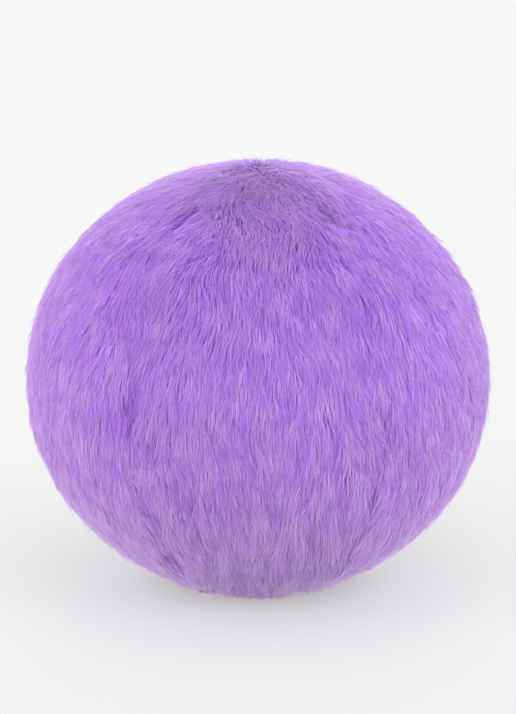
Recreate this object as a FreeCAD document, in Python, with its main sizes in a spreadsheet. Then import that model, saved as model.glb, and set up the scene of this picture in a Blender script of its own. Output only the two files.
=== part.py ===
"""A plush-covered playground ball: a six-gore faux-fur cover with a coil zipper, over a rubber bladder.

Z is up, the ball stands on the floor at the origin, and its front gore faces -Y. Lengths are in millimetres
and angles in degrees. The outline is a four-centre oval: one side arc between two equal cap arcs.
"""
import FreeCAD
import Part
import math
import os
import PartDesign
import Sketcher

Vector = FreeCAD.Vector

SIZES = {
    # the cover's outline, over the pile
    "outer_radius": 125.0,
    "outer_half_height": 117.5,
    "oval_share": 0.6,              # how far the side arc's centre goes out, as a share of the bulge
    "base_crush": 3.0,              # pile pressed flat under the ball
    # the cover's layers, from the outside in
    "pile_depth": 13.0,
    "backing_thickness": 1.5,
    "allowance_thickness": 2.4,     # seam allowance pressed open against the bladder
    "allowance_width": 7.0,
    "seam_groove": 1.2,             # between two pressed-open allowances, where the thread lies
    "thread_diameter": 0.8,
    "tack_radius": 5.0,
    # the bladder and its valve
    "bladder_wall": 2.0,
    "valve_elevation": -11.0,
    "housing_flange_radius": 8.0,
    "housing_radius": 6.5,
    "housing_depth": 9.0,
    "plug_radius": 3.5,
    "plug_head_radius": 5.0,
    "plug_head_depth": 1.6,
    "needle_hole_radius": 1.0,
    # the zipper, in the back left seam
    "zipper_low": -44.0,
    "zipper_high": 22.0,
    "channel_half_width": 5.5,      # bare strip on each side of the seam
    "channel_margin": 1.5,          # degrees of bare strip past the pull's reach
    "tape_thickness": 0.6,
    "tape_bed": 0.4,                # how far the tape is sewn down into the backing
    "tape_half_width": 12.0,
    "tape_tail": 1.0,               # degrees of tape past each end of the channel
    "coil_gap": 0.7,                # from the seam to the coil, and to the tape's edge
    "coil_width": 2.4,
    "coil_height": 2.0,
    "stop_length": 1.4,             # degrees
    "stitch_diameter": 0.5,
    "stitch_offset": 8.5,
    # the slider and its pull
    "slider_length": 11.0,
    "slider_plate": 1.2,
    "slider_rail": 0.9,
    "slider_post_length": 3.0,
    "slider_stop_gap": 0.5,
    "crown_width": 1.6,
    "crown_wall": 1.1,
    "pull_thickness": 1.4,
    "pull_width": 6.0,
    "pull_length": 22.0,
    "pull_slot": 5.2,
    "pull_hole_radius": 1.5,
    # running clearance between moving pieces
    "clearance": 0.3,
}

GORES = ("front", "front_right", "back_right", "back", "back_left", "front_left")
FRONT_ANGLE = -90.0                 # the front gore's middle, counted from +X
GORE_ANGLE = 360.0 / len(GORES)
ZIPPER_SEAM = 3                     # after the back gore

# derived lengths, as expressions on the sheet
BULGE = "(Dims.outer_radius - Dims.outer_half_height)"
SIDE_CENTRE = f"({BULGE} * (1 + Dims.oval_share))"
SIDE_RADIUS = f"(Dims.outer_radius - {SIDE_CENTRE})"
CAP_DROP = f"({BULGE} * (1 + 2 * Dims.oval_share) / (2 * Dims.oval_share))"
MIDDLE_Z = "(Dims.outer_half_height - Dims.base_crush)"
COVER = "(Dims.pile_depth + Dims.backing_thickness)"
LINING = f"({COVER} + Dims.allowance_thickness)"
INNER_RADIUS = f"(Dims.outer_radius - {COVER})"
DEGREES = "180 / pi"
ALLOWANCE_ANGLE = f"(Dims.allowance_width / {INNER_RADIUS} * {DEGREES})"
TACK_EDGE = "(Dims.tack_radius + Dims.clearance)"

# radial levels at the zipper, counted from the side arc's centre
TAPE_TOP = f"({SIDE_RADIUS} - {COVER} + Dims.tape_bed)"
TAPE_UNDER = f"({TAPE_TOP} - Dims.tape_thickness)"
COIL_TOP = f"({TAPE_TOP} + Dims.coil_height)"
COIL_EDGE = "(Dims.coil_gap + Dims.coil_width)"
BLADDER_TOP = f"({SIDE_RADIUS} - {LINING})"
PLATE_UNDER = f"({COIL_TOP} + Dims.clearance)"
PLATE_TOP = f"({PLATE_UNDER} + Dims.slider_plate)"
PLATE_SAG = f"(pow(Dims.slider_length / 2; 2) / (2 * {TAPE_UNDER}))"
LOWER_PLATE_TOP = f"({TAPE_UNDER} - Dims.clearance - {PLATE_SAG})"
LOWER_PLATE_UNDER = f"({BLADDER_TOP} + Dims.clearance)"
SLIDER_EDGE = f"({COIL_EDGE} + Dims.clearance + Dims.slider_rail)"
PIN_REACH = "(Dims.pull_thickness * 0.71 + Dims.clearance)"
PIN_LEVEL = f"({PLATE_TOP} + {PIN_REACH})"
WINDOW_TOP = f"({PLATE_TOP} + 2 * {PIN_REACH})"
SLIDER_HALF_ANGLE = f"(Dims.slider_length / 2 / {COIL_TOP} * {DEGREES})"
STOP_GAP_ANGLE = f"(Dims.slider_stop_gap / {COIL_TOP} * {DEGREES})"
SLIDER_ELEVATION = f"(Dims.zipper_high - {SLIDER_HALF_ANGLE} - {STOP_GAP_ANGLE})"
SLIDER_LOWEST = f"(Dims.zipper_low + {SLIDER_HALF_ANGLE} + {STOP_GAP_ANGLE})"
PULL_REACH = f"(Dims.pull_length / {PIN_LEVEL} * {DEGREES} + Dims.channel_margin)"
CHANNEL_LOW = f"({SLIDER_LOWEST} - {PULL_REACH})"
CHANNEL_HIGH = f"({SLIDER_ELEVATION} + {PULL_REACH})"
CHANNEL_MIDDLE = f"(({CHANNEL_LOW} + {CHANNEL_HIGH}) / 2)"
CHANNEL_SPAN = f"({CHANNEL_HIGH} - {CHANNEL_LOW})"
TAPE_ROOM_SPAN = f"({CHANNEL_SPAN} + 2 * Dims.tape_tail + 0.4)"

document = FreeCAD.newDocument("plush_playground_ball")
dims = document.addObject("Spreadsheet::Sheet", "Dims")
for row, (alias, amount) in enumerate(SIZES.items(), start=1):
    dims.set(f"A{row}", alias)
    dims.set(f"B{row}", str(amount))
    dims.setAlias(f"B{row}", alias)
document.recompute()

nodes = []


def number(expression):
    """The present value of an expression, for a sketch's first shape."""
    result = dims.evalExpression(expression)
    return float(getattr(result, "Value", result))


def new_body(name):
    body = document.addObject("PartDesign::Body", name)
    body.Label = name
    nodes.append(body)
    return body


def new_sketch(body, name, plane, offset=None):
    """A sketch on one of the body's own planes, moved by an optional placement expression."""
    sketch = body.newObject("Sketcher::SketchObject", f"{body.Name}_{name}")
    support = next(item for item in body.Origin.OriginFeatures if item.Role == plane)
    sketch.AttachmentSupport = [(support, "")]
    sketch.MapMode = "FlatFace"
    if offset:
        sketch.setExpression("AttachmentOffset", offset)
    return sketch


def fix(sketch, name, kind, points, expression):
    """A named driving constraint bound to the sheet."""
    index = sketch.addConstraint(Sketcher.Constraint(kind, *points, number(expression)))
    sketch.renameConstraint(index, name)
    sketch.setExpression(f"Constraints.{name}", expression)


def turned_plane(angle):
    """The XZ plane turned about Z."""
    return f"placement(vector(0; 0; 0); rotation(vector(0; 1; 0); {angle}))"


def zipper_frame(seam_angle, elevation):
    """X points out of the cover at this elevation, Y along the hinge line of the side arc."""
    return (
        f"placement(vector({SIDE_CENTRE} * cos({seam_angle}); {SIDE_CENTRE} * sin({seam_angle});"
        f" {MIDDLE_Z}); rotation({seam_angle}; -({elevation}); 0))"
    )


def oval_arcs(sketch, offset, name, on_floor=False):
    """Half of the oval, set in from the outline: bottom cap, side and top cap, joined by tangents."""
    radius = number(SIDE_RADIUS) - number(offset)
    centre = number(SIDE_CENTRE)
    drop = number(CAP_DROP)
    middle = number(MIDDLE_Z)
    corner = math.atan(drop / centre)
    cap_radius = number("Dims.outer_half_height") + drop - number(offset)
    foot = math.asin((middle + drop) / cap_radius) if on_floor else math.pi / 2
    caps = ((drop, cap_radius, -foot, -corner), (0.0, radius, -corner, corner),
            (-drop, cap_radius, corner, math.pi / 2))
    arcs = []
    for index, (shift, arc_radius, start, end) in enumerate(caps):
        x = centre if index == 1 else 0.0
        circle = Part.Circle(Vector(x, middle + shift, 0), Vector(0, 0, 1), arc_radius)
        arcs.append(sketch.addGeometry(Part.ArcOfCircle(circle, start, end)))
    bottom, side, top = arcs
    sketch.addConstraint(Sketcher.Constraint("Tangent", bottom, 2, side, 1))
    sketch.addConstraint(Sketcher.Constraint("Tangent", side, 2, top, 1))
    sketch.addConstraint(Sketcher.Constraint("PointOnObject", bottom, 3, -2))
    sketch.addConstraint(Sketcher.Constraint("PointOnObject", top, 3, -2))
    fix(sketch, f"{name}_side_x", "DistanceX", (-1, 1, side, 3), SIDE_CENTRE)
    fix(sketch, f"{name}_side_z", "DistanceY", (-1, 1, side, 3), MIDDLE_Z)
    fix(sketch, f"{name}_top_z", "DistanceY", (-1, 1, top, 3), f"{MIDDLE_Z} - {CAP_DROP}")
    fix(sketch, f"{name}_bottom_z", "DistanceY", (-1, 1, bottom, 3), f"{MIDDLE_Z} + {CAP_DROP}")
    fix(sketch, f"{name}_radius", "Radius", (side,), f"{SIDE_RADIUS} - {offset}")
    return bottom, side, top


def close_on_axis(sketch, outer, inner):
    """Join two sets of oval arcs along the axis, the outer one cut flat at the floor."""
    sketch.addConstraint(Sketcher.Constraint("PointOnObject", outer[0], 1, -1))
    for arc, end in ((outer[2], 2), (inner[0], 1), (inner[2], 2)):
        sketch.addConstraint(Sketcher.Constraint("PointOnObject", arc, end, -2))
    floor_end = sketch.getPoint(outer[0], 1)
    floor = sketch.addGeometry(Part.LineSegment(Vector(0, 0, 0), Vector(floor_end.x, 0, 0)))
    sketch.addConstraint(Sketcher.Constraint("Coincident", floor, 1, -1, 1))
    sketch.addConstraint(Sketcher.Constraint("Coincident", floor, 2, outer[0], 1))
    low_end = sketch.getPoint(inner[0], 1)
    low = sketch.addGeometry(Part.LineSegment(Vector(0, 0, 0), low_end))
    sketch.addConstraint(Sketcher.Constraint("Coincident", low, 1, -1, 1))
    sketch.addConstraint(Sketcher.Constraint("Coincident", low, 2, inner[0], 1))
    join(sketch, (inner[2], 2), (outer[2], 2))


def join(sketch, start, end):
    """A straight line between two ends already in the sketch."""
    line = sketch.addGeometry(Part.LineSegment(sketch.getPoint(*start), sketch.getPoint(*end)))
    sketch.addConstraint(Sketcher.Constraint("Coincident", line, 1, *start))
    sketch.addConstraint(Sketcher.Constraint("Coincident", line, 2, *end))
    return line


def trim_near_axis(sketch, arcs, name):
    """End the cap arcs beside the tacks instead of on the axis."""
    fix(sketch, f"{name}_low_end", "DistanceX", (-1, 1, arcs[0], 1), TACK_EDGE)
    fix(sketch, f"{name}_high_end", "DistanceX", (-1, 1, arcs[2], 2), TACK_EDGE)


def rectangle(sketch, x_low, x_high, y_low, y_high, name="box"):
    low = Vector(number(x_low), number(y_low), 0)
    high = Vector(number(x_high), number(y_high), 0)
    corners = (low, Vector(high.x, low.y, 0), high, Vector(low.x, high.y, 0))
    sides = []
    for index, corner in enumerate(corners):
        sides.append(sketch.addGeometry(Part.LineSegment(corner, corners[(index + 1) % 4])))
    for index, side in enumerate(sides):
        sketch.addConstraint(Sketcher.Constraint("Coincident", side, 2, sides[(index + 1) % 4], 1))
        sketch.addConstraint(Sketcher.Constraint("Vertical" if index % 2 else "Horizontal", side))
    fix(sketch, f"{name}_x_low", "DistanceX", (-1, 1, sides[0], 1), x_low)
    fix(sketch, f"{name}_x_high", "DistanceX", (-1, 1, sides[2], 1), x_high)
    fix(sketch, f"{name}_y_low", "DistanceY", (-1, 1, sides[0], 1), y_low)
    fix(sketch, f"{name}_y_high", "DistanceY", (-1, 1, sides[2], 1), y_high)


def turn(body, name, sketch, axis, angle, cut=False):
    """Revolve a sketch evenly to both sides of its plane."""
    kind = "Groove" if cut else "Revolution"
    feature = body.newObject(f"PartDesign::{kind}", f"{body.Name}_{name}")
    feature.Profile = sketch
    feature.ReferenceAxis = (sketch, [axis])
    feature.Midplane = True
    feature.setExpression("Angle", angle)
    document.recompute()
    return feature


def block(body, name, x_range, y_range, z_range, cut=False):
    """A box between named levels, padded on or pocketed out."""
    z_low, z_high = z_range
    sketch = new_sketch(body, f"{name}_outline", "XY_Plane",
                        f"placement(vector(0; 0; {z_low}); rotation(0; 0; 0))")
    rectangle(sketch, *x_range, *y_range)
    kind = "Pocket" if cut else "Pad"
    feature = body.newObject(f"PartDesign::{kind}", f"{body.Name}_{name}")
    feature.Profile = sketch
    feature.Reversed = cut
    feature.setExpression("Length", f"{z_high} - ({z_low})")
    document.recompute()
    return feature


def round_edges(body, name, base, radius, wanted):
    """Fillet the edges of a feature that a test picks out."""
    edges = [f"Edge{index}" for index, edge in enumerate(base.Shape.Edges, start=1) if wanted(edge)]
    fillet = body.newObject("PartDesign::Fillet", f"{body.Name}_{name}")
    fillet.Base = (base, edges)
    fillet.Radius = radius
    document.recompute()
    return fillet


def runs_along(edge, axis):
    """Whether an edge is a straight line along this axis."""
    return edge.Curve.TypeId == "Part::GeomLine" and abs(edge.tangentAt(edge.FirstParameter) * axis) > 0.99


def seam_angle(index):
    """The angle of the seam after gore number index."""
    return FRONT_ANGLE + GORE_ANGLE * (index + 0.5)


def crescent(body, name, angle, outer_offset, inner_offset):
    """A thin band inside the cover, from beside one tack to beside the other, on a plane turned about Z."""
    sketch = new_sketch(body, name, "XZ_Plane", turned_plane(angle))
    outer = oval_arcs(sketch, outer_offset, "outer")
    inner = oval_arcs(sketch, inner_offset, "inner")
    for arcs, label in ((outer, "outer"), (inner, "inner")):
        trim_near_axis(sketch, arcs, label)
    join(sketch, (inner[0], 1), (outer[0], 1))
    join(sketch, (inner[2], 2), (outer[2], 2))
    return sketch


def add_allowance(body, side):
    """One seam allowance, pressed open against the inside of the gore, short of the seam by half a groove."""
    name = "right_allowance" if side > 0 else "left_allowance"
    middle = f"{side} * ({GORE_ANGLE / 2} - {ALLOWANCE_ANGLE} / 2)"
    band = crescent(body, f"{name}_band", middle, f"({COVER} - Dims.backing_thickness / 2)", LINING)
    turn(body, name, band, "V_Axis", ALLOWANCE_ANGLE)
    edge = crescent(body, f"{name}_edge", str(side * GORE_ANGLE / 2), COVER, f"({LINING} + 1)")
    groove = body.newObject("PartDesign::Pocket", f"{body.Name}_{name}_groove")
    groove.Profile = edge
    groove.Midplane = True
    groove.setExpression("Length", "Dims.seam_groove")
    document.recompute()


def cut_zipper_channel(body, side):
    """Open a gore's edge for the zipper: the bare strip through it, and room for the tape below."""
    frame = zipper_frame(side * GORE_ANGLE / 2, CHANNEL_MIDDLE)
    reach = "Dims.channel_half_width"
    channel = new_sketch(body, "channel_strip", "XY_Plane", frame)
    edges = ("-1", reach) if side < 0 else (f"-{reach}", "1")
    rectangle(channel, f"{BLADDER_TOP} - 1", f"{SIDE_RADIUS} + 4", *edges)
    turn(body, "channel", channel, "V_Axis", CHANNEL_SPAN, cut=True)
    tape_room = new_sketch(body, "tape_room_strip", "XY_Plane", frame)
    reach = "(Dims.tape_half_width + Dims.clearance)"
    edges = ("-1", reach) if side < 0 else (f"-{reach}", "1")
    rectangle(tape_room, f"{BLADDER_TOP} - 1", TAPE_TOP, *edges)
    turn(body, "tape_room", tape_room, "V_Axis", TAPE_ROOM_SPAN, cut=True)


def build_gore(index):
    body = new_body(f"gore_{GORES[index]}")
    body.Placement = FreeCAD.Placement(Vector(0, 0, 0), Vector(0, 0, 1), FRONT_ANGLE + GORE_ANGLE * index)
    sketch = new_sketch(body, "band", "XZ_Plane")
    outer = oval_arcs(sketch, "0", "outer", on_floor=True)
    inner = oval_arcs(sketch, COVER, "inner")
    close_on_axis(sketch, outer, inner)
    turn(body, "panel", sketch, "V_Axis", str(GORE_ANGLE))
    add_allowance(body, -1)
    add_allowance(body, 1)
    if index == ZIPPER_SEAM:
        cut_zipper_channel(body, 1)
    if index == ZIPPER_SEAM + 1:
        cut_zipper_channel(body, -1)


def build_seam_thread(index):
    """The stitched thread of one seam, lying in the groove between the allowances."""
    body = new_body(f"seam_thread_{GORES[index]}")
    body.Placement = FreeCAD.Placement(Vector(0, 0, 0), Vector(0, 0, 1), seam_angle(index))
    path = new_sketch(body, "path", "XZ_Plane")
    arcs = oval_arcs(path, f"({COVER} + Dims.thread_diameter / 2)", "thread")
    trim_near_axis(path, arcs, "thread")
    document.recompute()
    round_section = body.newObject("Sketcher::SketchObject", f"{body.Name}_section")
    round_section.AttachmentSupport = [(path, "Edge1")]
    round_section.MapMode = "NormalToEdge"
    round_section.MapPathParameter = 0.0
    circle = Part.Circle(Vector(0, 0, 0), Vector(0, 0, 1), number("Dims.thread_diameter / 2"))
    ring = round_section.addGeometry(circle)
    round_section.addConstraint(Sketcher.Constraint("Coincident", ring, 3, -1, 1))
    fix(round_section, "radius", "Radius", (ring,), "Dims.thread_diameter / 2")
    sweep = body.newObject("PartDesign::AdditivePipe", f"{body.Name}_sweep")
    sweep.Profile = round_section
    sweep.Spine = path
    document.recompute()
    if index == ZIPPER_SEAM:
        opening = new_sketch(body, "opening_strip", "XY_Plane", zipper_frame(0, CHANNEL_MIDDLE))
        reach = "Dims.tape_half_width"
        rectangle(opening, f"{BLADDER_TOP} - 1", f"{TAPE_TOP} + 1", f"-{reach}", reach)
        turn(body, "opening", opening, "V_Axis", TAPE_ROOM_SPAN, cut=True)


def build_zipper_strip(name, x_range, y_range, low, high):
    """A piece of the zipper that follows the side arc: a rectangle turned from one elevation to another."""
    body = new_body(name)
    body.setExpression("Placement", zipper_frame(seam_angle(ZIPPER_SEAM), f"({low} + {high}) / 2"))
    sketch = new_sketch(body, "section", "XY_Plane")
    rectangle(sketch, *x_range, *y_range)
    turn(body, "strip", sketch, "V_Axis", f"{high} - ({low})")
    return body


def build_zipper():
    low = "Dims.zipper_low"
    high = "Dims.zipper_high"
    stop = "Dims.stop_length"
    tape_low = f"({CHANNEL_LOW} - Dims.tape_tail)"
    tape_high = f"({CHANNEL_HIGH} + Dims.tape_tail)"
    stitch_level = (f"{TAPE_UNDER} - Dims.stitch_diameter", TAPE_UNDER)
    stop_level = (TAPE_TOP, f"{COIL_TOP} + Dims.tape_thickness")
    for side, sign in (("left", -1), ("right", 1)):
        def across(near, far):
            return (f"-({far})", f"-({near})") if sign < 0 else (near, far)

        build_zipper_strip(f"zipper_tape_{side}", (TAPE_UNDER, TAPE_TOP),
                           across("Dims.coil_gap", "Dims.tape_half_width"), tape_low, tape_high)
        build_zipper_strip(f"zipper_coil_{side}", (TAPE_TOP, COIL_TOP),
                           across("Dims.coil_gap", COIL_EDGE), low, high)
        build_zipper_strip(f"zipper_top_stop_{side}", stop_level,
                           across("Dims.coil_gap", COIL_EDGE), high, f"({high} + {stop})")
        build_zipper_strip(f"zipper_stitch_{side}", stitch_level,
                           across("Dims.stitch_offset - Dims.stitch_diameter", "Dims.stitch_offset"),
                           tape_low, tape_high)
    build_zipper_strip("zipper_bottom_stop", stop_level, (f"-{COIL_EDGE}", COIL_EDGE),
                       f"({low} - {stop})", low)


def build_slider():
    """The slider: two plates joined by a post between the coils, side rails, and a crown for the pull."""
    body = new_body("zipper_slider")
    body.setExpression("Placement", zipper_frame(seam_angle(ZIPPER_SEAM), SLIDER_ELEVATION))
    half = "Dims.slider_length / 2"
    whole_length = (f"-{half}", half)
    whole_width = (f"-{SLIDER_EDGE}", SLIDER_EDGE)
    post = "(Dims.coil_gap - Dims.clearance)"
    rail_under = f"{TAPE_TOP} + Dims.clearance"
    rail_inside = f"({COIL_EDGE} + Dims.clearance)"
    window_half = PIN_REACH
    crown_half = f"({PIN_REACH} + Dims.crown_wall)"
    across = Vector(0, 1, 0)
    outward = Vector(1, 0, 0)

    block(body, "top_plate", (PLATE_UNDER, PLATE_TOP), whole_width, whole_length)
    block(body, "right_rail", (rail_under, PLATE_UNDER), (rail_inside, SLIDER_EDGE), whole_length)
    block(body, "left_rail", (rail_under, PLATE_UNDER), (f"-{SLIDER_EDGE}", f"-{rail_inside}"),
          whole_length)
    block(body, "post", (LOWER_PLATE_UNDER, f"{PLATE_UNDER} + 0.2"), (f"-{post}", post),
          (f"{half} - 0.8 - Dims.slider_post_length", f"{half} - 0.8"))
    solid = block(body, "lower_plate", (LOWER_PLATE_UNDER, LOWER_PLATE_TOP), whole_width, whole_length)
    solid = round_edges(body, "corners", solid, 1.6, lambda edge: runs_along(edge, outward)
                        and abs(edge.CenterOfMass.y) > number(rail_inside) + 0.2)
    block(body, "crown", (f"{PLATE_TOP} - 0.2", f"{WINDOW_TOP} + Dims.crown_wall"),
          ("-Dims.crown_width / 2", "Dims.crown_width / 2"), (f"-{crown_half}", crown_half))
    solid = block(body, "window", (PLATE_TOP, WINDOW_TOP), ("-Dims.crown_width", "Dims.crown_width"),
                  (f"-{window_half}", window_half), cut=True)
    round_edges(body, "crown_corners", solid, 1.0, lambda edge: runs_along(edge, across)
                and edge.CenterOfMass.x > number(WINDOW_TOP) + 0.1)


def build_pull():
    """The pull: a flat tab whose slotted end hangs on a bar in the slider's crown."""
    body = new_body("zipper_pull")
    angle = seam_angle(ZIPPER_SEAM)
    reach = f"({SIDE_CENTRE} + {PIN_LEVEL} * cos({SLIDER_ELEVATION}))"
    height = f"{MIDDLE_Z} + {PIN_LEVEL} * sin({SLIDER_ELEVATION})"
    place = f"vector({reach} * cos({angle}); {reach} * sin({angle}); {height})"
    body.setExpression("Placement", f"placement({place}; rotation({angle}; -{SLIDER_ELEVATION}; 0))")
    half_width = "Dims.pull_width / 2"
    bar = "Dims.pull_thickness / 2"
    straight = f"-(Dims.pull_length - {half_width})"

    sketch = new_sketch(body, "outline", "YZ_Plane")
    wide = number(half_width)
    top = number(bar)
    low = number(straight)
    left = sketch.addGeometry(Part.LineSegment(Vector(-wide, top, 0), Vector(-wide, low, 0)))
    ring = Part.Circle(Vector(0, low, 0), Vector(0, 0, 1), wide)
    end = sketch.addGeometry(Part.ArcOfCircle(ring, math.pi, 2 * math.pi))
    right = sketch.addGeometry(Part.LineSegment(Vector(wide, low, 0), Vector(wide, top, 0)))
    sketch.addConstraint(Sketcher.Constraint("Tangent", left, 2, end, 1))
    sketch.addConstraint(Sketcher.Constraint("Tangent", end, 2, right, 1))
    sketch.addConstraint(Sketcher.Constraint("Vertical", left))
    sketch.addConstraint(Sketcher.Constraint("PointOnObject", end, 3, -2))
    head = join(sketch, (right, 2), (left, 1))
    sketch.addConstraint(Sketcher.Constraint("Horizontal", head))
    fix(sketch, "end_height", "DistanceY", (-1, 1, end, 3), straight)
    fix(sketch, "end_radius", "Radius", (end,), half_width)
    fix(sketch, "head_height", "DistanceY", (-1, 1, left, 1), bar)
    slot = "(Dims.crown_width / 2 + Dims.clearance)"
    rectangle(sketch, f"-{slot}", slot, f"-{bar} - Dims.pull_slot", f"-{bar}", "slot")
    tab = body.newObject("PartDesign::Pad", "pull_tab")
    tab.Profile = sketch
    tab.Midplane = True
    tab.setExpression("Length", "Dims.pull_thickness")
    document.recompute()

    grip = new_sketch(body, "grip_hole", "YZ_Plane")
    hole = grip.addGeometry(Part.Circle(Vector(0, low, 0), Vector(0, 0, 1), number("Dims.pull_hole_radius")))
    grip.addConstraint(Sketcher.Constraint("PointOnObject", hole, 3, -2))
    fix(grip, "hole_height", "DistanceY", (-1, 1, hole, 3), straight)
    fix(grip, "hole_radius", "Radius", (hole,), "Dims.pull_hole_radius")
    pocket = body.newObject("PartDesign::Pocket", "pull_hole")
    pocket.Profile = grip
    pocket.Midplane = True
    pocket.setExpression("Length", "2 * Dims.pull_thickness")
    document.recompute()
    round_edges(body, "bar_corners", pocket, 0.4, lambda edge: runs_along(edge, Vector(0, 1, 0))
                and edge.CenterOfMass.z > -number(bar) - 0.1)


def turned_piece(body, name, x_range, y_range, cut=False):
    """A round step about the valve's own line, which is the frame's X axis."""
    frame = None if body.Name.startswith("valve") else zipper_frame(seam_angle(ZIPPER_SEAM),
                                                                    "Dims.valve_elevation")
    sketch = new_sketch(body, f"{name}_section", "XY_Plane", frame)
    rectangle(sketch, *x_range, *y_range)
    turn(body, name, sketch, "H_Axis", "360", cut)


def build_bladder():
    """The rubber bladder, its valve housing bonded into the wall, and the plug in the housing."""
    shell = new_body("bladder_shell")
    sketch = new_sketch(shell, "band", "XZ_Plane")
    outer = oval_arcs(sketch, LINING, "outer")
    inner = oval_arcs(sketch, f"({LINING} + Dims.bladder_wall)", "inner")
    for arcs in (outer, inner):
        for arc, end in ((arcs[0], 1), (arcs[2], 2)):
            sketch.addConstraint(Sketcher.Constraint("PointOnObject", arc, end, -2))
    join(sketch, (inner[0], 1), (outer[0], 1))
    join(sketch, (inner[2], 2), (outer[2], 2))
    turn(shell, "wall", sketch, "V_Axis", "360")
    inside = f"{BLADDER_TOP} - Dims.bladder_wall"
    turned_piece(shell, "valve_hole", (f"{inside} - 2", f"{BLADDER_TOP} + 2"),
                 ("0", "Dims.housing_flange_radius"), cut=True)

    flush = f"({BLADDER_TOP} - Dims.clearance)"
    bottom = f"({flush} - Dims.housing_depth)"
    frame = zipper_frame(seam_angle(ZIPPER_SEAM), "Dims.valve_elevation")
    housing = new_body("valve_housing")
    housing.setExpression("Placement", frame)
    turned_piece(housing, "flange", (inside, flush), ("0", "Dims.housing_flange_radius"))
    turned_piece(housing, "boss", (bottom, inside), ("0", "Dims.housing_radius"))
    turned_piece(housing, "bore", (f"{bottom} - 1", f"{flush} + 1"), ("0", "Dims.plug_radius"), cut=True)

    plug = new_body("valve_plug")
    plug.setExpression("Placement", frame)
    turned_piece(plug, "stem", (bottom, flush), ("0", "Dims.plug_radius"))
    turned_piece(plug, "head", (f"{bottom} - Dims.plug_head_depth", bottom), ("0", "Dims.plug_head_radius"))
    turned_piece(plug, "needle_hole", (f"{bottom} + 2", f"{flush} + 1"),
                 ("0", "Dims.needle_hole_radius"), cut=True)


def build_tack(name, height):
    """A flat knot of thread that gathers the six points inside a pole."""
    tack = document.addObject("Part::Cylinder", name)
    tack.Label = name
    tack.setExpression("Radius", "Dims.tack_radius")
    tack.setExpression("Height", "Dims.allowance_thickness - Dims.clearance")
    tack.setExpression("Placement.Base.z", height)
    nodes.append(tack)


for gore_index in range(len(GORES)):
    build_gore(gore_index)
for gore_index in range(len(GORES)):
    build_seam_thread(gore_index)
build_zipper()
build_slider()
build_pull()
build_bladder()
build_tack("pole_tack_top", f"{MIDDLE_Z} + Dims.outer_half_height - {LINING} + Dims.clearance / 2")
build_tack("pole_tack_bottom", f"{MIDDLE_Z} - Dims.outer_half_height + {COVER} + Dims.clearance / 2")
document.recompute()

for item in document.Objects:
    if "Invalid" in item.State or "Error" in item.State:
        raise RuntimeError(f"{item.Name} did not build: {item.State}")
os.makedirs("parts", exist_ok=True)
for node in nodes:
    if node.Shape.isNull() or not node.Shape.isValid():
        raise RuntimeError(f"{node.Label} has no valid shape")
    node.Shape.exportStep(os.path.join("parts", f"{node.Label}.step"))
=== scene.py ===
"""The looks of the plush-covered playground ball: combed faux fur on six knit gores, and the hidden zipper.

Everything is in metres in the CAD's frame: Z is up, the ball stands on the floor at the origin, and its front
faces -Y.
Fur strands are real tapered meshes. Each is placed by three numbers on the ball's oval: its azimuth, its lean
(the elevation of the outward normal there) and its depth below the outline.
"""
import math
import bpy
import numpy as np
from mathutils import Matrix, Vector


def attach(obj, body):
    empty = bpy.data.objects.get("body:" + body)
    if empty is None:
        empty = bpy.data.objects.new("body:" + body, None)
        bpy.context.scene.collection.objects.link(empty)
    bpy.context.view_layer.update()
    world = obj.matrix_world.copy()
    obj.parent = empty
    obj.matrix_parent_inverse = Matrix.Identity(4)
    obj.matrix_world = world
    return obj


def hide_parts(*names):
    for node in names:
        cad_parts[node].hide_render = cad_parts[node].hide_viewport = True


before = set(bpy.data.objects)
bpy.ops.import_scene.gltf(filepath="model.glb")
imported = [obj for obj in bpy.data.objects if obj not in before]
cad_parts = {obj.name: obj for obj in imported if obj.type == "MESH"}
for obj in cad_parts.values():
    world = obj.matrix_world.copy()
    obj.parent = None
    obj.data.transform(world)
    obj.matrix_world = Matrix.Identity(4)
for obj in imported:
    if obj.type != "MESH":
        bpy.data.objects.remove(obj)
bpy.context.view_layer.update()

# the oval and the cover, as part.py has them
GORES = ("front", "front_right", "back_right", "back", "back_left", "front_left")
FRONT_ANGLE = math.radians(-90.0)
GORE_ANGLE = math.tau / len(GORES)
OUTER_RADIUS = 0.125
HALF_HEIGHT = 0.1175
BASE_CRUSH = 0.003
OVAL_SHARE = 0.6
PILE = 0.013
BACKING = 0.0015
MIDDLE_Z = HALF_HEIGHT - BASE_CRUSH
BULGE = OUTER_RADIUS - HALF_HEIGHT
SIDE_CENTRE = BULGE * (1 + OVAL_SHARE)
SIDE_RADIUS = OUTER_RADIUS - SIDE_CENTRE
CAP_DROP = BULGE * (1 + 2 * OVAL_SHARE) / (2 * OVAL_SHARE)
CAP_RADIUS = HALF_HEIGHT + CAP_DROP
CORNER = math.atan2(CAP_DROP, SIDE_CENTRE)  # the lean where the side arc meets the cap

# the zipper's seam
ZIPPER_ANGLE = FRONT_ANGLE + GORE_ANGLE * 3.5
ZIPPER_OUTWARD = np.array((math.cos(ZIPPER_ANGLE), math.sin(ZIPPER_ANGLE), 0.0))
ZIPPER_ACROSS = np.array((-math.sin(ZIPPER_ANGLE), math.cos(ZIPPER_ANGLE), 0.0))
ZIPPER_LOW = math.radians(-44.0)
ZIPPER_HIGH = math.radians(22.0)
CHANNEL_LOW = math.radians(-54.3)
CHANNEL_HIGH = math.radians(32.3)
CHANNEL_END = math.radians(2.5)     # over which the bare strip closes
BARE_HALF_WIDTH = 0.0052            # of the bare strip, as high as the slider
PULL_CLEAR_WIDTH = 0.0036           # and half its width above that, where only the pull goes
SLIDER_CLEAR_HEIGHT = 0.008
RAGGED_EDGE = 0.0011                # how unevenly the strands line the strip
SIDE_CROWDING = 0.25                # how far strands beside the strip move over with it
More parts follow.
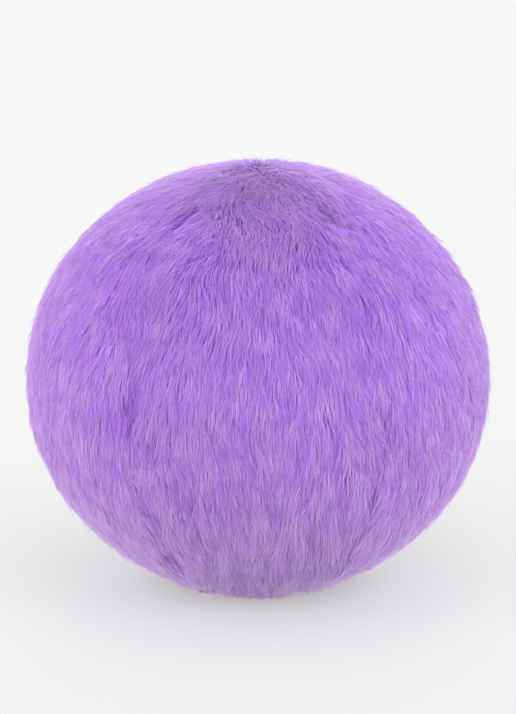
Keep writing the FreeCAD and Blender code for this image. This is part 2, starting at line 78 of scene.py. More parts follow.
TAPE_BED = 0.0004                   # how far the tape is sewn down into the backing
TAPE_RADIUS = SIDE_RADIUS - PILE - BACKING + TAPE_BED
COIL_HEIGHT = 0.002
COIL_NEAR = 0.00055                 # the coil's edges, from the seam
COIL_FAR = 0.0031
COIL_PITCH = 0.00125
FILAMENT_RADIUS = 0.00032
FILAMENT_CORNERS = 6
STEPS_PER_TURN = 14

# the fur
SEED = 41
UNDERFUR_DEPTH = 0.0054     # below the outline: the short dense fibre between the strands
UNDERFUR_LIFT = 0.0002      # clearance between the underfur and the backing
UNDERFUR_SETBACK = 0.002    # how much further than the backing it stops short of the zipper
UNDERFUR_PART_SHARE = 0.75  # how much of it is missing at a seam
UNDERFUR_PART_WIDTH = 0.0035
SEWN_DRAW = 0.0006          # how far the backing is drawn in where it is sewn
SEWN_WIDTH = 0.0015
BACKING_TOP = 88.0          # degrees of lean where the backing and the underfur end, short of the pole
UNDERFUR_TOP = 89.7
POLE_GATHER = 0.012         # within this of the axis everything counts as seam
TUFT_SPACING = 0.0017
TUFT_JITTER = 0.22          # as a share of the spacing
LEAST_TUFT_RING = 0.004     # distances from the axis are taken as no less than these, so that turns stay small
LEAST_STRAND_RING = 0.012
LEAST_LAYER_RING = 0.01
LEAST_FLOOR_RING = 0.005
TUFT_STEPS = (0.7548776662466927, 0.5698402909980532)   # the plastic number's powers: an even scatter
STRANDS_PER_TUFT = 5
STRAND_RADIUS = 0.00023
STRAND_STEPS = np.array((0.0, 0.32, 0.68, 1.0))
STRAND_TAPER = np.array((1.0, 1.0, 0.72))
TRAVEL = 0.018              # how far a strand runs down the cover
TRAVEL_CURVE = 1.25         # powers of the share of the strand: its way down, its rise, and its root's spread
RISE_CURVE = 2.1
LOOSE_CURVE = 0.8
PAST_BOTTOM = 0.15          # radians that a strand may run past the bottom pole
ROOT_SPREAD = 0.0013
TIP_SPREAD = 0.00055
CROWN_RADIUS = 0.011        # the tuft on the top pole, where the strands stand up
CROWN_DENSITY = 2.0
CROWN_REACH = 0.035
CROWN_SHORTER = 0.7
CROWN_TUMBLE = 0.0022
BOTTOM_THINNING = 0.6       # fewer tufts round the bottom pole, which is pressed on the floor
BOTTOM_REACH = 0.04
SEAM_DIP = 0.42             # how much lower strands lie at a seam
SEAM_DIP_WIDTH = 0.0036
SEAM_PART_SLANT = 0.18      # how far they part there
PARTING_TURN = 0.3          # where the parting is less than this, strands lean over the seam instead
SEAM_PART_WIDTH = 0.005
SEAM_FROM_AXIS = 0.02       # no parting this close to the axis, and all of it 30 mm further out
SEAM_FADE = 0.03
LOW_LEAN = 0.4              # below this lean the fur is painted paler, for the light on the lower half, and its locks show
LOCK_LIFT = 0.075
GATHER = 0.0016             # how far strands lean together into locks
HIGH_GATHER = 0.25          # the share of that on the ball's upper half
FLYAWAY_SHARE = 0.07
FLYAWAY_LIFT = 0.07
SKIRT = 0.009               # how far the floor pushes the lowest strands outward
SKIRT_HEIGHT = 0.004
SKIRT_FADE = 0.03
FLOOR_GAP = 0.0003          # between the floor and the lowest strands
ROOT_OFF_FLOOR = 0.0012     # how much higher a pressed strand's root lies than its tip
LAYERED_ON_FLOOR = 0.0004   # pressed strands lie in layers, the pale ones on top
FUR_BANDS = ("top", "upper", "lower", "bottom")

# spreads of the random draws for each tuft and for each strand: its slant in radians, its height and its length
# as shares, and its tint
TUFT_SLANT, TUFT_LIFT, TUFT_REACH, TUFT_TINT = 0.11, 0.045, 0.14, 0.20
STRAND_SLANT, STRAND_LIFT, STRAND_REACH, STRAND_TINT = 0.10, 0.02, 0.08, 0.17
RADIUS_SPREAD = 0.15
# a strand's tint runs from 0, deep violet, to 1, pale lilac
TINT_RANGE = (0.02, 0.98)
TINT_DROP = 0.08
LOW_PAINTED_LIGHT = 0.33             # painted light and shade: how much paler the fur is made low on the ball, and how far raised locks are made paler and sunk ones darker
LOCK_PAINTED_SHADE = 0.26
SEAM_PAINTED_SHADE = 0.35            # painted shade: how much darker strands are made at a seam, for the shade in its groove

# smooth fields over the ball: size, seed, wavelength in metres, and how much longer they are up and down
BROAD_SLANT = (0.18, 5, 0.05, 1.0)
FINE_SLANT = (0.12, 6, 0.016, 1.0)
LIFT = (0.03, 7, 0.02, 1.0)
SHADE = (0.14, 8, 0.014, 1.0)
PARTING = (0.6, 11, 0.035, 1.0)
LOCKS = (1.0, 12, 0.009, 2.5)
GATHERING = (1.0, 13, 0.009, 2.5)
WAVES_PER_FIELD = 7
WAVES_SUM = 3.2             # about the most that so many waves add up to

# the meshes' maps and shading
TINY = 1e-12
MAP_ROOT, MAP_UPPER, MAP_TIP = 0.02, 0.7, 0.98      # v of the root ring, the last ring and the tip
BAKE_WIDTH = 0.004          # how far a face spreads in the bake map
BAKE_HEIGHT = 0.006
SPOKE_SHADING = 0.45        # the shading normal leans this much on the strand's own roundness
COVER_SHADING = 0.75        # and this much on the cover's
LAYER_ACROSS = 32           # faces of a gore's layers
LAYER_UP = 60
GLOSS_SPREAD = 0.08

# the stage and the view of it
FLOOR_REACH = 40.0
FLOOR_PAINT = (0.92, 0.92, 0.92, 1.0)
PAINTED_SHADOW_EDGE = (0.03, 0.08)    # from the middle of the floor: where the painted contact shadow starts to fade and where the glow is full
# the floor's glow in the painted contact shadow under the ball, and past it
FLOOR_GLOW_AND_PAINTED_SHADOW = (0.51, 0.71)
FILL_SHARE = 0.7
WORLD_STRENGTH = 0.9
LAMP_WIDTH = math.radians(50.0)
# name, azimuth and elevation in degrees as seen from the ball (0 is the front), strength, colour
LAMPS = (("front_softbox", -10, 5, 3.0, (1.0, 1.0, 1.0)),
         ("left_softbox", -65, 5, 2.2, (1.0, 0.98, 0.96)),
         ("right_softbox", 60, 5, 3.2, (0.95, 0.97, 1.0)),
         ("back_softbox", 180, 10, 1.8, (1.0, 1.0, 1.0)),
         ("top_softbox", 0, 80, 0.6, (1.0, 1.0, 1.0)))
CAMERA_ELEVATION = math.radians(11.5)
CAMERA_DISTANCE = 1.055
CAMERA_LENS = 135.0
SENSOR_WIDTH = 36.0
AIM_ABOVE_MIDDLE = 0.0107

rng = np.random.default_rng(SEED)


# ---------------------------------------------------------------- places on the oval

def on_oval(azimuth, lean, depth):
    """Points set in from the outline by depth where the normal leans by lean, and those normals."""
    side = np.abs(lean) <= CORNER
    centre_r = np.where(side, SIDE_CENTRE, 0.0)
    centre_z = MIDDLE_Z + np.where(side, 0.0, -np.sign(lean) * CAP_DROP)
    radius = np.where(side, SIDE_RADIUS, CAP_RADIUS) - depth
    r = centre_r + radius * np.cos(lean)
    normals = np.stack((np.cos(lean) * np.cos(azimuth), np.cos(lean) * np.sin(azimuth), np.sin(lean)), -1)
    points = np.stack((r * np.cos(azimuth), r * np.sin(azimuth), centre_z + radius * np.sin(lean)), -1)
    return points, normals


def radius_of_turn(lean, depth):
    """The radius of the meridian's arc at this lean."""
    return np.where(np.abs(lean) <= CORNER, SIDE_RADIUS, CAP_RADIUS) - depth


def lean_spread(count_fractions):
    """Leans for fractions from 0 at the bottom to 1 at the top: even by area, but thicker round the top pole
    and thinner round the bottom one."""
    table = np.linspace(-math.pi / 2, math.pi / 2, 721)
    points, _ = on_oval(np.zeros_like(table), table, PILE)
    ring = np.maximum(points[:, 0], 0.0)
    thicker = np.where(table > 0, CROWN_DENSITY * np.exp(-(ring / CROWN_REACH)**2),
                       -BOTTOM_THINNING * np.exp(-(ring / BOTTOM_REACH)**2))
    share = np.cumsum(ring * radius_of_turn(table, PILE) * (1.0 + thicker))
    return np.interp(count_fractions, share / share[-1], table)


def waves(azimuth, lean, field):
    """Smooth noise over the ball, from about minus the field's size to plus it, from a few plane waves."""
    size, seed, wavelength, stretch = field
    points, _ = on_oval(azimuth, lean, 0.0)
    points = points / np.array((1.0, 1.0, stretch))
    local = np.random.default_rng(seed)
    total = np.zeros(len(points))
    for _ in range(WAVES_PER_FIELD):
        direction = local.normal(size=3)
        direction /= np.linalg.norm(direction)
        frequency = math.tau / (wavelength * local.uniform(0.7, 1.5))
        total += np.sin(points @ direction * frequency + local.uniform(0, math.tau))
    return size * (total / WAVES_SUM)


# ---------------------------------------------------------------- meshes and materials

def new_object(name, vertices, faces_flat, face_sizes, material):
    """A mesh object from arrays: vertices, corner indices in order, and each face's corner count."""
    mesh = bpy.data.meshes.new(name)
    mesh.vertices.add(len(vertices))
    mesh.vertices.foreach_set("co", np.asarray(vertices, np.float32).ravel())
    mesh.loops.add(len(faces_flat))
    mesh.loops.foreach_set("vertex_index", np.asarray(faces_flat, np.int32))
    starts = np.concatenate(([0], np.cumsum(face_sizes)[:-1])).astype(np.int32)
    mesh.polygons.add(len(face_sizes))
    mesh.polygons.foreach_set("loop_start", starts)
    mesh.polygons.foreach_set("use_smooth", np.ones(len(face_sizes), bool))
    mesh.update(calc_edges=True)
    mesh.validate()
    mesh.materials.append(material)
    piece = bpy.data.objects.new(name, mesh)
    bpy.context.scene.collection.objects.link(piece)
    return piece


class Nodes:
    """A material's node tree, with a short call to add a node."""

    def __init__(self, name):
        self.material = bpy.data.materials.new(name)
        self.material.use_nodes = True
        self.tree = self.material.node_tree
        self.tree.nodes.clear()
        self.output = self.add("ShaderNodeOutputMaterial")

    def add(self, kind, inputs=None, **settings):
        """A new node with its settings. inputs maps a socket to a value, or to the output that feeds it."""
        node = self.tree.nodes.new(kind)
        for key, value in settings.items():
            setattr(node, key, value)
        for socket, value in (inputs or {}).items():
            if isinstance(value, bpy.types.NodeSocket):
                self.tree.links.new(value, node.inputs[socket])
            else:
                node.inputs[socket].default_value = value
        return node

    def ramp(self, factor, stops):
        """A colour ramp's output, from its factor and stops of (position, (r, g, b))."""
        node = self.add("ShaderNodeValToRGB", {"Fac": factor})
        elements = node.color_ramp.elements
        elements[0].position = stops[0][0]
        elements[0].color = (*stops[0][1], 1.0)
        elements[1].position = stops[-1][0]
        elements[1].color = (*stops[-1][1], 1.0)
        for position, colour in stops[1:-1]:
            elements.new(position).color = (*colour, 1.0)
        return node.outputs["Color"]

    def place(self):
        """The object's own coordinates."""
        return self.add("ShaderNodeTexCoord").outputs["Object"]

    def noise(self, vector, scale, detail):
        noise = self.add("ShaderNodeTexNoise", {"Vector": vector, "Scale": scale, "Detail": detail})
        return noise.outputs["Fac"]

    def relief(self, height, strength, distance):
        """A bump normal."""
        bump = self.add("ShaderNodeBump", {"Height": height, "Strength": strength, "Distance": distance})
        return bump.outputs["Normal"]

    def finish(self, shader):
        """Sends a shader to the output, and gives the material."""
        self.tree.links.new(shader, self.output.inputs["Surface"])
        return self.material


def fur_material():
    """Lilac fibre: deep violet at the root and lighter along its length, with a near-white tip that is painted
    light shining through the tips; tinted tuft by tuft, with painted light low on the ball and painted shade at
    the seams; partly translucent. Both come from the strand map, u the tint and v the place along the strand."""
    nodes = Nodes("lilac_fur")
    strand = nodes.add("ShaderNodeUVMap", uv_map="strand")
    split = nodes.add("ShaderNodeSeparateXYZ", {"Vector": strand.outputs["UV"]})
    # the fibre lightens along its length; the near-white last stop at the tip is painted light, a glow for
    # light shining through the tips at the rim
    along = nodes.ramp(split.outputs["Y"], ((0.0, (0.32, 0.07, 0.84)), (0.5, (0.43, 0.11, 0.90)),
                                            (0.85, (0.60, 0.25, 0.96)), (1.0, (0.92, 0.74, 0.99))))
    tint = nodes.ramp(split.outputs["X"], ((0.0, (0.25, 0.05, 0.72)), (0.5, (0.52, 0.20, 0.94)),
                                           (1.0, (0.88, 0.63, 0.99))))
    colour = nodes.add("ShaderNodeMix", {"Factor": 0.55, "A": along, "B": tint}, data_type="RGBA")
    fibre = nodes.add("ShaderNodeBsdfPrincipled", {
        "Base Color": colour.outputs["Result"], "Roughness": 0.5, "Specular IOR Level": 0.5,
        "Sheen Weight": 0.8, "Sheen Roughness": 0.6, "Sheen Tint": (0.90, 0.70, 1.0, 1.0)})
    paler = nodes.add("ShaderNodeMix", {"Factor": 0.5, "A": colour.outputs["Result"],
                                        "B": (0.92, 0.86, 0.98, 1.0)}, data_type="RGBA")
    through = nodes.add("ShaderNodeBsdfTranslucent", {"Color": paler.outputs["Result"]})
    blend = nodes.add("ShaderNodeMixShader", {"Fac": 0.38, 1: fibre.outputs["BSDF"],
                                              2: through.outputs["BSDF"]})
    return nodes.finish(blend.outputs["Shader"])


def woven_material(name, dark, light, scale, roughness=0.85):
    """Knit or woven cloth: crossed bands of yarn, dark between them."""
    nodes = Nodes(name)
    place = nodes.place()
    bands = [nodes.add("ShaderNodeTexWave", {"Vector": place, "Scale": scale, "Distortion": 1.5},
                       bands_direction=direction).outputs["Fac"] for direction in ("X", "Z")]
    weave = nodes.add("ShaderNodeMath", {0: bands[0], 1: bands[1]}, operation="MULTIPLY").outputs["Value"]
    cloth = nodes.add("ShaderNodeBsdfPrincipled", {
        "Base Color": nodes.ramp(weave, ((0.0, dark), (1.0, light))), "Roughness": roughness,
        "Normal": nodes.relief(weave, 0.35, 0.0003)})
    return nodes.finish(cloth.outputs["BSDF"])


def matted_material(name, dark, light):
    """Short dense fibre seen between the strands: fine streaks that run down the ball."""
    nodes = Nodes(name)
    squeeze = nodes.add("ShaderNodeMapping", {"Vector": nodes.place(), "Scale": (1.0, 1.0, 0.25)})
    streaks = nodes.noise(squeeze.outputs["Vector"], 900.0, 4.0)
    surface = nodes.add("ShaderNodeBsdfPrincipled", {
        "Base Color": nodes.ramp(streaks, ((0.3, dark), (0.7, light))), "Roughness": 0.8,
        "Normal": nodes.relief(streaks, 0.6, 0.0006)})
    return nodes.finish(surface.outputs["BSDF"])


def grained_material(name, dark, light, scale, roughness, bump=0.2, coat=0.0):
    """Moulded rubber, nylon or enamel: fine grain in the colour, the gloss and the surface."""
    nodes = Nodes(name)
    grain = nodes.noise(nodes.place(), scale, 6.0)
    gloss = nodes.add("ShaderNodeMapRange", {"Value": grain, "To Min": roughness - GLOSS_SPREAD,
                                             "To Max": roughness + GLOSS_SPREAD})
    surface = nodes.add("ShaderNodeBsdfPrincipled", {
        "Base Color": nodes.ramp(grain, ((0.3, dark), (0.7, light))), "Roughness": gloss.outputs["Result"],
        "Coat Weight": coat, "Normal": nodes.relief(grain, bump, 0.0002)})
    return nodes.finish(surface.outputs["BSDF"])


FUR = fur_material()
UNDERFUR = matted_material("underfur", (0.34, 0.11, 0.80), (0.50, 0.22, 0.90))
KNIT = woven_material("knit_backing", (0.26, 0.10, 0.62), (0.42, 0.20, 0.80), 900.0)
THREAD = woven_material("sewing_thread", (0.20, 0.08, 0.40), (0.34, 0.17, 0.58), 2200.0, 0.6)
TAPE = woven_material("zipper_tape", (0.26, 0.12, 0.50), (0.42, 0.23, 0.70), 1400.0, 0.8)
NYLON = grained_material("nylon_coil", (0.34, 0.17, 0.62), (0.44, 0.25, 0.74), 900.0, 0.35, bump=0.05)
ENAMEL = grained_material("enamelled_zinc", (0.30, 0.14, 0.56), (0.40, 0.21, 0.68), 500.0, 0.3, bump=0.08,
                          coat=0.5)
RUBBER = grained_material("bladder_rubber", (0.22, 0.06, 0.36), (0.30, 0.10, 0.46), 700.0, 0.6, bump=0.5)
BLACK_RUBBER = grained_material("valve_rubber", (0.015, 0.015, 0.016), (0.035, 0.035, 0.037), 900.0, 0.55)


# ---------------------------------------------------------------- the fur

def seam_distance(azimuth, points):
    """Signed distance along the surface to the nearest seam."""
    turns = (azimuth - FRONT_ANGLE) / GORE_ANGLE - 0.5
    return (turns - np.round(turns)) * GORE_ANGLE * np.hypot(points[:, 0], points[:, 1])


def sow_tufts(gore_index):
    """Evenly scattered tuft roots on one gore: azimuths and leans."""
    area = 4 * math.pi * (OUTER_RADIUS - PILE) * (HALF_HEIGHT - PILE) / len(GORES)
    count = int(area / TUFT_SPACING**2)
    order = np.arange(count)
    across = (0.5 + order * TUFT_STEPS[0]) % 1.0
    up = (0.5 + order * TUFT_STEPS[1]) % 1.0
    middle = FRONT_ANGLE + gore_index * GORE_ANGLE
    lean = lean_spread(up)
    azimuth = middle + (across - 0.5) * GORE_ANGLE
    points, _ = on_oval(azimuth, lean, PILE)
    jitter = rng.normal(scale=TUFT_SPACING * TUFT_JITTER, size=(2, count))
    ring = np.maximum(np.hypot(points[:, 0], points[:, 1]), LEAST_TUFT_RING)
    return azimuth + jitter[0] / ring, lean + jitter[1] / radius_of_turn(lean, PILE)


def clear_zipper(points, height, side, ragged):
    """Keeps strand points on their own side of the bare strip over the zipper, and out of the pull's way."""
    reach = points @ ZIPPER_OUTWARD - SIDE_CENTRE
    elevation = np.arctan2(points[..., 2] - MIDDLE_Z, reach)
    into = np.minimum(elevation - CHANNEL_LOW, CHANNEL_HIGH - elevation) / CHANNEL_END
    open_share = np.sqrt(np.clip(into + 1.0, 0.0, 1.0) * (reach > 0))
    wanted = np.where(height < SLIDER_CLEAR_HEIGHT, BARE_HALF_WIDTH, PULL_CLEAR_WIDTH) + RAGGED_EDGE * ragged
    wanted *= open_share
    aside = side * (points @ ZIPPER_ACROSS)
    pushed = np.maximum(aside, wanted + SIDE_CROWDING * np.maximum(aside, 0.0) * (open_share > 0))
    pushed = np.where(open_share > 0, pushed, aside)
    return points + (side * (pushed - aside))[..., None] * ZIPPER_ACROSS


def comb_strands(gore_index):
    """Centre lines of one gore's strands: points (strand, step, xyz), outward normals there, radii, tints."""
    tuft_azimuth, tuft_lean = sow_tufts(gore_index)
    count = len(tuft_azimuth)
    slant = waves(tuft_azimuth, tuft_lean, BROAD_SLANT) + waves(tuft_azimuth, tuft_lean, FINE_SLANT)
    slant += rng.normal(scale=TUFT_SLANT, size=count)
    lift = 1.0 + waves(tuft_azimuth, tuft_lean, LIFT) + rng.normal(scale=TUFT_LIFT, size=count)
    reach = TRAVEL * (1.0 + rng.normal(scale=TUFT_REACH, size=count))
    shade = 0.5 + waves(tuft_azimuth, tuft_lean, SHADE) + rng.normal(scale=TUFT_TINT, size=count)
    owner = np.repeat(np.arange(count), STRANDS_PER_TUFT)
    total = len(owner)

    ring_angle = rng.uniform(0, math.tau, total)
    ring_size = ROOT_SPREAD * np.sqrt(rng.uniform(0, 1, total))
    root_across = ring_size * np.cos(ring_angle)
    root_along = ring_size * np.sin(ring_angle)
    tip_across = rng.normal(scale=TIP_SPREAD, size=total)
    strand_slant = slant[owner] + rng.normal(scale=STRAND_SLANT, size=total)
    strand_reach = reach[owner] * (1.0 + rng.normal(scale=STRAND_REACH, size=total))
    strand_lift = lift[owner] + rng.normal(scale=STRAND_LIFT, size=total)
    flyaway = rng.uniform(0, 1, total) < FLYAWAY_SHARE
    strand_lift += flyaway * np.abs(rng.normal(scale=FLYAWAY_LIFT, size=total))
    tint = np.clip(shade[owner] + rng.normal(scale=STRAND_TINT, size=total), *TINT_RANGE)

    azimuth = tuft_azimuth[owner]
    lean = tuft_lean[owner]
    base, _ = on_oval(azimuth, lean, PILE)
    from_axis = np.hypot(base[:, 0], base[:, 1])
    crown = np.exp(-(from_axis / CROWN_RADIUS)**2) * (lean > 0)
    strand_reach *= 1.0 - CROWN_SHORTER * crown
    tumble = rng.normal(scale=CROWN_TUMBLE, size=(total, 2)) * crown[:, None]

    aside = seam_distance(azimuth, base)
    parting = np.clip(0.5 + waves(azimuth, lean, PARTING), 0.0, 1.0)
    parting *= np.clip((from_axis - SEAM_FROM_AXIS) / SEAM_FADE, 0.0, 1.0)
    at_seam = parting * np.exp(-(aside / SEAM_DIP_WIDTH)**2)
    strand_lift -= SEAM_DIP * at_seam
    strand_slant += (np.sign(aside) * SEAM_PART_SLANT * (parting - PARTING_TURN)
                     * np.exp(-(aside / SEAM_PART_WIDTH)**2))
    low = np.clip(LOW_LEAN - lean, 0.0, 1.0)
    locks = waves(azimuth, lean, LOCKS)
    gather_across = GATHER * (HIGH_GATHER + (1.0 - HIGH_GATHER) * low) * waves(azimuth, lean, GATHERING)
    strand_lift += LOCK_LIFT * low * locks
    # painted light and shade: the fur is made paler low on the ball, paler on raised locks and darker on sunk
    # ones
    # painted shade: strands at a seam are made darker, for the shade in the groove there
    tint = np.clip(tint - TINT_DROP + low * (LOW_PAINTED_LIGHT + LOCK_PAINTED_SHADE * locks) - SEAM_PAINTED_SHADE * at_seam, *TINT_RANGE)

    ragged = np.abs(rng.normal(size=total))
    zipper_side = np.where(np.sin(azimuth - ZIPPER_ANGLE) >= 0, 1.0, -1.0)
    points = np.empty((total, len(STRAND_STEPS), 3))
    normals = np.empty((total, len(STRAND_STEPS), 3))
    ring = np.maximum(from_axis, LEAST_STRAND_RING)
    for index, step in enumerate(STRAND_STEPS):
        travel = strand_reach * step**TRAVEL_CURVE
        loose = 1.0 - step**LOOSE_CURVE
        down = travel * np.cos(strand_slant) - root_along * loose
        sideways = travel * np.sin(strand_slant) + root_across * loose + (tip_across + gather_across) * step
        step_lean = np.maximum(lean - down / radius_of_turn(lean, PILE), -math.pi / 2 - PAST_BOTTOM)
        height = PILE * strand_lift * (1.0 - (1.0 - step)**RISE_CURVE)
        place, normal = on_oval(azimuth + sideways / ring, step_lean, PILE - height)
        place[:, :2] += tumble * step
        place = clear_zipper(place, height, zipper_side, ragged)
        place = press_on_floor(place, step, tint)
        points[:, index] = place
        normals[:, index] = normal
    radii = STRAND_RADIUS * (1.0 + rng.normal(scale=RADIUS_SPREAD, size=total))
    return points, normals, radii, tint


def press_on_floor(place, step, tint):
    """Holds strand points above the floor, and pushes those close to it outward."""
    ring = np.hypot(place[:, 0], place[:, 1])
    push = (SKIRT * np.exp(-(np.maximum(place[:, 2], 0.0) / SKIRT_HEIGHT)**2)
            * np.clip(ring / SKIRT_FADE, 0.0, 1.0))
    place[:, :2] *= (1.0 + push / np.maximum(ring, LEAST_FLOOR_RING))[:, None]
    least = FLOOR_GAP + ROOT_OFF_FLOOR * (1.0 - step) + LAYERED_ON_FLOOR * tint
    place[:, 2] = np.maximum(place[:, 2], least)
    return place


def strand_mesh(name, points, normals, radii, tint):
    """Closed three-sided tapered strands along the centre lines, in one mesh."""
    total, steps, _ = points.shape
    tangents = np.gradient(points, axis=1)
    tangents /= np.linalg.norm(tangents, axis=2, keepdims=True) + TINY
    sideways = np.cross(tangents, normals)
    sideways /= np.linalg.norm(sideways, axis=2, keepdims=True) + TINY
    upward = np.cross(sideways, tangents)
    rings = []
    lit = []
    for corner in range(3):
        angle = math.tau * corner / 3 + math.pi / 2
        spoke = math.cos(angle) * sideways[:, :-1] + math.sin(angle) * upward[:, :-1]
        rings.append(points[:, :-1] + spoke * (radii[:, None] * STRAND_TAPER[None])[..., None])
        lit.append(SPOKE_SHADING * spoke + COVER_SHADING * normals[:, :-1])
    ring_points = np.stack(rings, 2).reshape(total, -1, 3)
    vertices = np.concatenate((ring_points, points[:, -1:]), 1)
    ring_lit = np.stack(lit, 2).reshape(total, -1, 3)
    shading = np.concatenate((ring_lit, normals[:, -1:]), 1)
    shading /= np.linalg.norm(shading, axis=2, keepdims=True)
    per_strand = vertices.shape[1]

    triangles = [(0, 1, 2)]
    for level in range(steps - 2):
        for corner in range(3):
            near = level * 3 + corner
            near_next = level * 3 + (corner + 1) % 3
            triangles.append((near, near_next + 3, near_next))
            triangles.append((near, near + 3, near_next + 3))
    last = (steps - 2) * 3
    for corner in range(3):
        triangles.append((last + corner, per_strand - 1, last + (corner + 1) % 3))
    pattern = np.array(triangles)
    faces = (pattern[None] + (np.arange(total) * per_strand)[:, None, None]).reshape(-1)
    piece = new_object(name, vertices.reshape(-1, 3), faces, np.full(len(pattern) * total, 3), FUR)
    mesh = piece.data

    # the strand map is tint by level; OFBake is the same with a little width, so that its faces aren't slivers
    levels = np.concatenate((np.repeat(np.linspace(MAP_ROOT, MAP_UPPER, steps - 1), 3), (MAP_TIP,)))
    wide = np.concatenate((np.tile((-BAKE_WIDTH, 0.0, BAKE_WIDTH), steps - 1), (0.0,)))
    high = np.concatenate((np.tile((0.0, BAKE_HEIGHT, 0.0), steps - 1), (0.0,)))
    for layer, spread in (("strand", 0.0), ("OFBake", 1.0)):
        u = (tint[:, None] + spread * wide).ravel()[faces]
        v = np.tile(levels + spread * high, total)[faces]
        corners = np.stack((u, v), 1).astype(np.float32).ravel()
        mesh.uv_layers.new(name=layer).data.foreach_set("uv", corners)
    custom = mesh.attributes.new("custom_normal", "FLOAT_VECTOR", "POINT")
    custom.data.foreach_set("vector", shading.reshape(-1, 3).astype(np.float32).ravel())
    return piece


def build_layer(gore_index, label, depths, bare_width, top_lean, material):
    """A closed layer of one gore from seam to seam. depths gives its outer and inner depth below the outline
    for each distance from the seam; bare_width is how far it stops short of the zipper."""
    across = LAYER_ACROSS
    up = LAYER_UP
    middle = FRONT_ANGLE + gore_index * GORE_ANGLE
    share, lean = np.meshgrid(np.sin(np.linspace(-0.5, 0.5, across + 1) * math.pi),
                              np.linspace(-1, 1, up + 1) * math.radians(top_lean))
    share = share.ravel()
    lean = lean.ravel()
    points, _ = on_oval(np.zeros_like(lean), lean, PILE)
    ring = np.maximum(points[:, 0], 0.0)
    from_seam = np.maximum((1.0 - np.abs(share)) * GORE_ANGLE / 2 * ring, POLE_GATHER - ring)
    to_zipper = math.remainder(ZIPPER_ANGLE - middle, math.tau)
    if abs(to_zipper) < GORE_ANGLE:
        ends = np.clip(np.minimum(lean - CHANNEL_LOW, CHANNEL_HIGH - lean) / CHANNEL_END, 0.0, 1.0)
        inset = bare_width * np.sqrt(ends) / np.maximum(points[:, 0], LEAST_LAYER_RING) / (GORE_ANGLE / 2)
        share = share * (1.0 - np.where(share * to_zipper > 0, inset, 0.0))
    azimuth = middle + share * GORE_ANGLE / 2
    vertices = np.concatenate([on_oval(azimuth, lean, depth)[0] for depth in depths(from_seam)])
    width = across + 1
    size = len(share)
    faces = []
    for row in range(up):
        for column in range(across):
            a = row * width + column
            faces.append((a, a + 1, a + 1 + width, a + width))
            faces.append((size + a, size + a + width, size + a + 1 + width, size + a + 1))
    for column in range(across):
        low = column
        high = up * width + column
        faces.append((low + 1, low, size + low, size + low + 1))
        faces.append((high, high + 1, size + high + 1, size + high))
    for row in range(up):
        left = row * width
        right = row * width + across
        faces.append((left, left + width, size + left + width, size + left))
        faces.append((right + width, right, size + right, size + right + width))
    flat = np.array(faces).ravel()
    return new_object(f"{label}_{GORES[gore_index]}", vertices, flat, np.full(len(faces), 4), material)


def backing_depths(from_seam):
    """The knit backing, drawn in a little where it is sewn."""
    drawn = SEWN_DRAW * np.exp(-from_seam / SEWN_WIDTH)
    return PILE + drawn, PILE + BACKING + drawn


def underfur_depths(from_seam):
    """The underfur stands on the backing and parts along the seams."""
    stands = PILE - UNDERFUR_LIFT - UNDERFUR_DEPTH
    top = UNDERFUR_DEPTH + UNDERFUR_PART_SHARE * stands * np.exp(-(from_seam / UNDERFUR_PART_WIDTH)**2)
    return top, np.full_like(from_seam, PILE - UNDERFUR_LIFT)


def build_gore(gore_index):
    """One gore: its knit backing, its underfur, and its strands in bands from the top down."""
    name = GORES[gore_index]
    backing = build_layer(gore_index, "backing", backing_depths, BARE_HALF_WIDTH, BACKING_TOP, KNIT)
    underfur = build_layer(gore_index, "underfur", underfur_depths, BARE_HALF_WIDTH + UNDERFUR_SETBACK,
                           UNDERFUR_TOP, UNDERFUR)
    points, normals, radii, tint = comb_strands(gore_index)
    from_top = np.argsort(-points[:, 0, 2], kind="stable")
    fur = [underfur]
    for band, chosen in zip(FUR_BANDS, np.array_split(from_top, len(FUR_BANDS))):
        fur.append(strand_mesh(f"fur_{name}_{band}", points[chosen], normals[chosen], radii[chosen],
                               tint[chosen]))
    for piece in (backing, *fur):
        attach(piece, "ball")
        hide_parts(f"gore_{name}")


# ---------------------------------------------------------------- the zipper's coil

